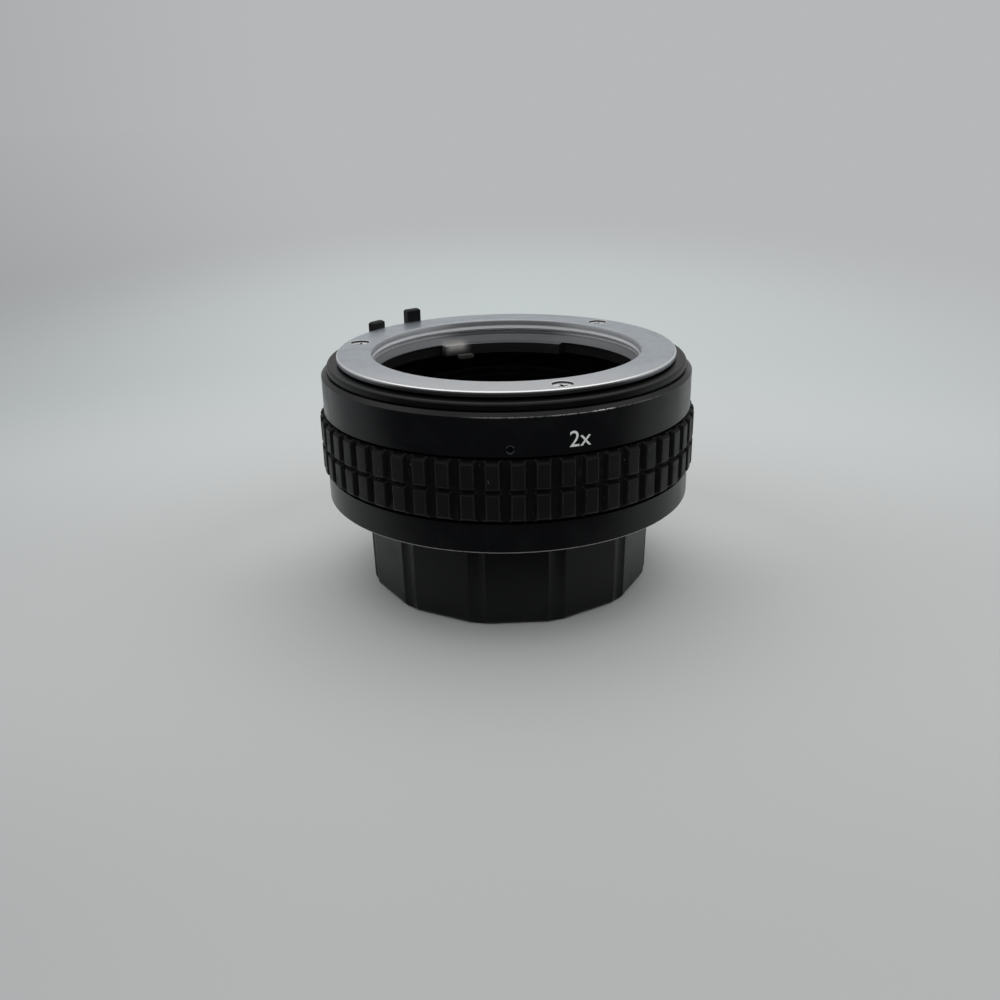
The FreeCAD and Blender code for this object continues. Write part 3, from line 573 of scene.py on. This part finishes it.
def grip_edges():
    """The rounded block edges, with a painted sheen on those that face sideways, a little lighter than the
    faces.
    """
    finish = Finish("grip_edges")
    sideways = finish.ramp(finish.upward, 0.1, 0.5, 1.0, 0.0)
    # Painted sheen on the edges that face sideways
    edge_sheen = finish.both(sideways, finish.ramp(finish.noise(0.8, 4.0, 0.6), 0.35, 0.70))
    return finish.surface(
        Base_Color=finish.colour(edge_sheen, RUBBER, RUBBER_EDGE_SHEEN),
        Roughness=finish.ramp(edge_sheen, 0.0, 1.0, 0.52, 0.42),
        Specular_IOR_Level=finish.ramp(sideways, 0.0, 1.0, 0.12, 0.5),
        Normal=finish.bump(finish.noise(7.0, 2.0), 0.015, 0.3),
    )


def cap_plastic():
    """Moulded black plastic with a faint grain and hairline scuffs."""
    finish = Finish("cap_plastic")
    grain = finish.noise(6.0, 3.0, 0.55)
    haze = finish.ramp(finish.noise(0.15, 4.0, 0.6), 0.40, 0.75)
    streaks = finish.noise(1.6, 4.0, 0.65, finish.stretched(2.0, 2.0, 0.25))
    scuffs = finish.ramp(streaks, 0.64, 0.74, 0.0, 0.6)
    shade = finish.colour(haze, PLASTIC, PLASTIC_HAZE)
    return finish.surface(
        Base_Color=finish.colour(scuffs, shade, PLASTIC_SCUFF),
        Roughness=finish.ramp(haze, 0.0, 1.0, 0.30, 0.40),
        IOR=BLACK_IOR,
        Normal=finish.bump(grain, 0.008, 0.3),
    )


def anodised_black():
    """Dull black with fine light-trapping grooves around the axis."""
    finish = Finish("anodised_black")
    wave = finish.math("SINE", finish.both(finish.z, 14.0))
    patches = finish.ramp(finish.noise(0.5, 4.0), 0.35, 0.75)
    return finish.surface(
        Base_Color=finish.colour(patches, ANODISED, ANODISED_HAZE),
        Roughness=finish.ramp(patches, 0.0, 1.0, 0.52, 0.66),
        Specular_IOR_Level=0.0,
        Normal=finish.bump(wave, 0.05, 0.4),
    )


def coated_glass(name, coating):
    """Optical glass with a thin coating that weakens and tints its reflections, and a little dust."""
    finish = Finish(name)
    dust = finish.ramp(finish.noise(2.2, 3.0), 0.66, 0.78)
    uneven = finish.ramp(finish.noise(0.15, 2.0), 0.3, 0.7)
    thinner = tuple(0.7 * part for part in coating)
    return finish.surface(
        Base_Color=GLASS_CLEAR,
        Roughness=finish.ramp(dust, 0.0, 1.0, 0.01, 0.12),
        Transmission_Weight=1.0,
        IOR=GLASS_IOR,
        Specular_Tint=finish.colour(uneven, coating, thinner),
    )


def white_fill():
    """White paint of the mark, slightly dirty."""
    finish = Finish("white_fill")
    dirt = finish.ramp(finish.noise(2.5, 4.0, 0.65), 0.50, 0.80)
    return finish.surface(
        Base_Color=finish.colour(dirt, MARK_WHITE, MARK_DIRT),
        Roughness=finish.ramp(dirt, 0.0, 1.0, 0.55, 0.70),
        Normal=finish.bump(finish.noise(6.0, 2.0), 0.01, 0.3),
    )


# Pieces

def added(name, data):
    """A new object in the scene."""
    made = bpy.data.objects.new(name, data)
    bpy.context.scene.collection.objects.link(made)
    return made


def finished(mesh, *finishes):
    """Gives a mesh its finishes in place of any that it has."""
    mesh.materials.clear()
    for finish in finishes:
        mesh.materials.append(finish)


def softened(node, body, width_mm, steps, finish, edge_finish, beyond=0.0):
    """Copy of a solid's mesh with its sharp edges rounded, shown in the solid's place.

    Only edges that reach past the radius `beyond` are rounded.
    """
    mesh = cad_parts[node].data.copy()
    finished(mesh, finish, edge_finish)
    shape = bmesh.new()
    shape.from_mesh(mesh)
    bmesh.ops.remove_doubles(shape, verts=shape.verts, dist=SAME_POINT * MM)
    flat = math.radians(FLAT_CORNER)
    bmesh.ops.dissolve_limit(shape, angle_limit=flat, verts=shape.verts, edges=shape.edges)
    for face in shape.faces:
        face.material_index = 0
    limit = math.radians(SHARP_CORNER)
    sharp = [
        edge for edge in shape.edges
        if edge.is_manifold and edge.calc_face_angle() > limit
        and max(vertex.co.xy.length for vertex in edge.verts) > beyond
    ]
    bmesh.ops.bevel(
        shape, geom=sharp, offset=width_mm * MM, offset_type="OFFSET", segments=steps, profile=0.5,
        affect="EDGES", clamp_overlap=True, material=1,
    )
    for face in shape.faces:
        face.smooth = True
    shape.to_mesh(mesh)
    shape.free()
    piece = added(node + "_softened", mesh)
    weighted = piece.modifiers.new("weighted", "WEIGHTED_NORMAL")
    weighted.keep_sharp = False
    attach(piece, body)
    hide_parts(node)


def rounded_rim(node, body, finish):
    """Copy of the coupling ring whose rounded outer edge is shaded as an exact round."""
    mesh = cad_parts[node].data.copy()
    finished(mesh, finish)
    edge = RING_EDGE * MM
    centre_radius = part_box(node)[1].x - edge
    centre_height = plate_top - RING_DROP * MM - edge
    slack = 0.02 * edge
    normals = [Vector(corner.vector) for corner in mesh.corner_normals]
    for face in mesh.polygons:
        for corner in face.loop_indices:
            place = mesh.vertices[mesh.loops[corner].vertex_index].co
            outward = place.xy.length - centre_radius
            upward = place.z - centre_height
            on_round = abs(math.hypot(outward, upward) - edge) < slack
            if on_round and min(outward, upward) > -slack:
                level = outward * place.xy.normalized()
                exact = Vector((level.x, level.y, upward)).normalized()
                if exact.dot(face.normal) > 0.8:
                    normals[corner] = exact
    mesh.normals_split_custom_set(normals)
    piece = added(node + "_rounded", mesh)
    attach(piece, body)
    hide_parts(node)


def magnification_mark(finish):
    """Plain white figure wrapped on the barrel, where such converters state their factor."""
    azimuth = math.radians(MARK_AZIMUTH)
    base = plate_top - MARK_DROP * MM
    curve = bpy.data.curves.new("mark_outline", "FONT")
    curve.body = MARK_TEXT
    curve.size = MARK_HEIGHT * MM / FIGURE_SHARE
    curve.align_x = "CENTER"
    curve.extrude = MARK_PROUD * MM
    outline = added("mark_outline", curve)
    bpy.context.view_layer.update()
    mesh = bpy.data.meshes.new_from_object(outline.evaluated_get(bpy.context.evaluated_depsgraph_get()))
    bpy.data.objects.remove(outline)
    for vertex in mesh.vertices:
        along, up, out = vertex.co
        angle = azimuth + along / barrel_radius
        radius = barrel_radius + out
        vertex.co = (radius * math.cos(angle), radius * math.sin(angle), base + up)
    finished(mesh, finish)
    piece = added("magnification_mark", mesh)
    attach(piece, BODY)


ring_black = ring_paint()
front_plating = throat_metal()
steel = bright_steel()
anodised = anodised_black()
amber_glass = coated_glass("amber_glass", COATING_AMBER)
violet_glass = coated_glass("violet_glass", COATING_VIOLET)
rubber = grip_rubber()

FINISHES = {
    "barrel": barrel_paint(),
    "front_mount": front_plating,
    "rear_mount": mount_metal("mount_metal").material,
    "front_mount_screws": screw_head_steel(),
    "rear_mount_screws": steel,
    "bayonet_spring": anodised,
    "lever_clip": steel,
    "coupling_rods": steel,
    "set_screws": set_screw_steel(),
    "lever_ring": lever_steel(),
    "light_mask": anodised,
    "chassis": anodised,
    "lens_cell": anodised,
    "lens_spacer": anodised,
    "front_retainer": anodised,
    "rear_retainer": anodised,
    "rear_coupling_ring": ring_black,
    "lens_front": violet_glass,
    "lens_second": amber_glass,
    "lens_third": violet_glass,
    "lens_rear": amber_glass,
    "coupling_ring": ring_black,
    "grip_ring": rubber,
    "rear_cap": cap_plastic(),
}
for node, material in FINISHES.items():
    finished(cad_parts[node].data, material)

softened(
    "grip_ring", BODY, GRIP_ROUND, GRIP_ROUND_STEPS, rubber, grip_edges(),
    beyond=grip_radius - GRIP_ROUND_DEPTH * MM,
)
softened("front_mount", BODY, PLATE_ROUND, PLATE_ROUND_STEPS, front_plating, front_plating)
rounded_rim("coupling_ring", "coupling", ring_black)
magnification_mark(white_fill())


# Stage, light and camera

def tinted(nodes, x, y):
    """The backdrop's colour towards (x, y), seen from the axis: darker at the left than elsewhere."""
    side = nodes.math("DIVIDE", x, nodes.across(x, y))
    return nodes.colour(nodes.ramp(side, -0.75, -0.15), BACKDROP_LEFT, BACKDROP_RIGHT)


def backdrop_material():
    """Pale floor with painted light beside and behind the object and painted shade far in front, that fades
    into a glowing backdrop with distance, and is dark in front for reflections.
    """
    finish = Finish("pale_floor")
    tree = finish.tree
    faint = finish.noise(0.004, 4.0)
    paper = finish.colour(finish.ramp(faint, 0.3, 0.7), FLOOR, tuple(0.97 * part for part in FLOOR))
    # Painted light that lifts the shadow beside and behind the object
    beside = finish.both(
        finish.ramp(finish.radius, *PALE_ROUND, 0.8, 0.0), finish.ramp(finish.y, *PALE_BESIDE)
    )
    behind = finish.either(beside, finish.ramp(finish.y, *PALE_BEHIND, 0.0, 0.55))
    paper = finish.colour(behind, paper, FLOOR_PAINTED_LIGHT)
    finish.surface(
        # Painted shade on the floor far in front
        Base_Color=finish.colour(finish.ramp(finish.y, *FRONT_ZONE, 1.0, 0.0), paper, FLOOR_FRONT_SHADE),
        Roughness=0.8,
        IOR=BLACK_IOR,
    )
    glow_distance = finish.across(
        finish.both(finish.x, GLOW_NARROWED), finish.math("SUBTRACT", finish.y, GLOW_MIDDLE)
    )
    glow = finish.ramp(glow_distance, 0.0, GLOW_REACH, 1.0, 0.0)
    glow = finish.both(glow, finish.ramp(finish.y, *GLOW_START))
    far_colour = finish.colour(glow, tinted(finish, finish.x, finish.y), BACKDROP_GLOW)
    far = finish.node("ShaderNodeEmission", Color=far_colour)
    fade = finish.node("ShaderNodeMixShader", Fac=finish.ramp(finish.radius, *FLOOR_FADE))
    tree.links.new(finish.shader.outputs[0], fade.inputs[1])
    tree.links.new(far.outputs[0], fade.inputs[2])
    ray = finish.node("ShaderNodeLightPath")
    ahead = finish.ramp(finish.y, *MIRROR_DIM, 0.93, 0.0)
    unlit = finish.node("ShaderNodeEmission", Strength=0.0)
    dimmed = finish.node("ShaderNodeMixShader", Fac=finish.both(ray.outputs["Is Glossy Ray"], ahead))
    tree.links.new(fade.outputs[0], dimmed.inputs[1])
    tree.links.new(unlit.outputs[0], dimmed.inputs[2])
    tree.links.new(dimmed.outputs[0], tree.nodes["Material Output"].inputs["Surface"])
    return finish.material


def floor():
    """A wide plane that the part stands on."""
    half = FLOOR_HALF
    mesh = bpy.data.meshes.new("floor")
    corners = [(-half, -half, 0.0), (half, -half, 0.0), (half, half, 0.0), (-half, half, 0.0)]
    mesh.from_pydata(corners, [], [(0, 1, 2, 3)])
    finished(mesh, backdrop_material())
    plane = added("floor", mesh)


def surroundings():
    """Even fill light; the camera sees the backdrop, and reflections a dark front and a pale band above."""
    world = bpy.data.worlds.new("surroundings")
    world.use_nodes = True
    nodes = Nodes(world.node_tree)
    coordinates = nodes.node("ShaderNodeTexCoord")
    x, y, z = nodes.node("ShaderNodeSeparateXYZ", Vector=coordinates.outputs["Generated"]).outputs
    # Reflections meet a dim low front, the backdrop behind, a pale band above and a dimmer zenith
    low = nodes.both(nodes.ramp(z, 0.02, 0.28, 0.22, 0.46), nodes.ramp(y, -0.5, 0.4, 0.25, 1.0))
    low = nodes.either(low, nodes.ramp(y, 0.3, 0.8, 0.0, 0.44))
    mirrored = nodes.either(low, nodes.ramp(z, 0.35, 0.72, 0.0, 1.05))
    mirrored = nodes.both(mirrored, nodes.ramp(z, 0.80, 0.92, 1.0, 0.35))
    ray = nodes.node("ShaderNodeLightPath")
    lit = nodes.colour(ray.outputs["Is Camera Ray"], FILL, tinted(nodes, x, y))
    background = nodes.tree.nodes["Background"]
    nodes.feed(background.inputs["Color"], nodes.colour(ray.outputs["Is Glossy Ray"], lit, mirrored))
    bpy.context.scene.world = world


def softbox():
    """Round lamp over the object, turned to its foot."""
    data = bpy.data.lights.new("overhead", "AREA")
    data.shape = "DISK"
    data.size = LAMP_SIZE
    data.energy = LAMP_POWER
    lamp = added("overhead", data)
    lamp.location = LAMP_PLACE
    lamp.rotation_euler = (-Vector(LAMP_PLACE)).to_track_quat("-Z", "Y").to_euler()


def camera():
    """The photograph's camera, turned so that the plate's centre falls on its pixel, then rolled."""
    data = bpy.data.cameras.new("camera")
    data.sensor_width = SENSOR
    data.lens = SENSOR * FOCAL_PIXELS / PHOTO_PIXELS
    data.clip_start = CLIP_START
    data.clip_end = CLIP_END
    viewer = added("camera", data)
    yaw = math.atan2(PHOTO_PIXELS / 2 - PLATE_PIXEL[0], FOCAL_PIXELS)
    pitch = math.atan2(PLATE_PIXEL[1] - PHOTO_PIXELS / 2, FOCAL_PIXELS)
    tilt = Matrix.Rotation(math.pi / 2 - CAMERA_ELEVATION, 4, "X")
    place = Vector((0.0, 0.0, plate_top)) + CAMERA_DISTANCE * (tilt @ Vector((0.0, 0.0, 1.0)))
    aim = Matrix.Rotation(yaw, 4, "Y") @ Matrix.Rotation(pitch, 4, "X")
    roll = Matrix.Rotation(CAMERA_ROLL, 4, "Z")
    viewer.matrix_world = Matrix.Translation(place) @ tilt @ aim @ roll
    bpy.context.scene.camera = viewer


floor()
surroundings()
softbox()
camera()
bpy.context.scene.view_settings.view_transform = "Standard"
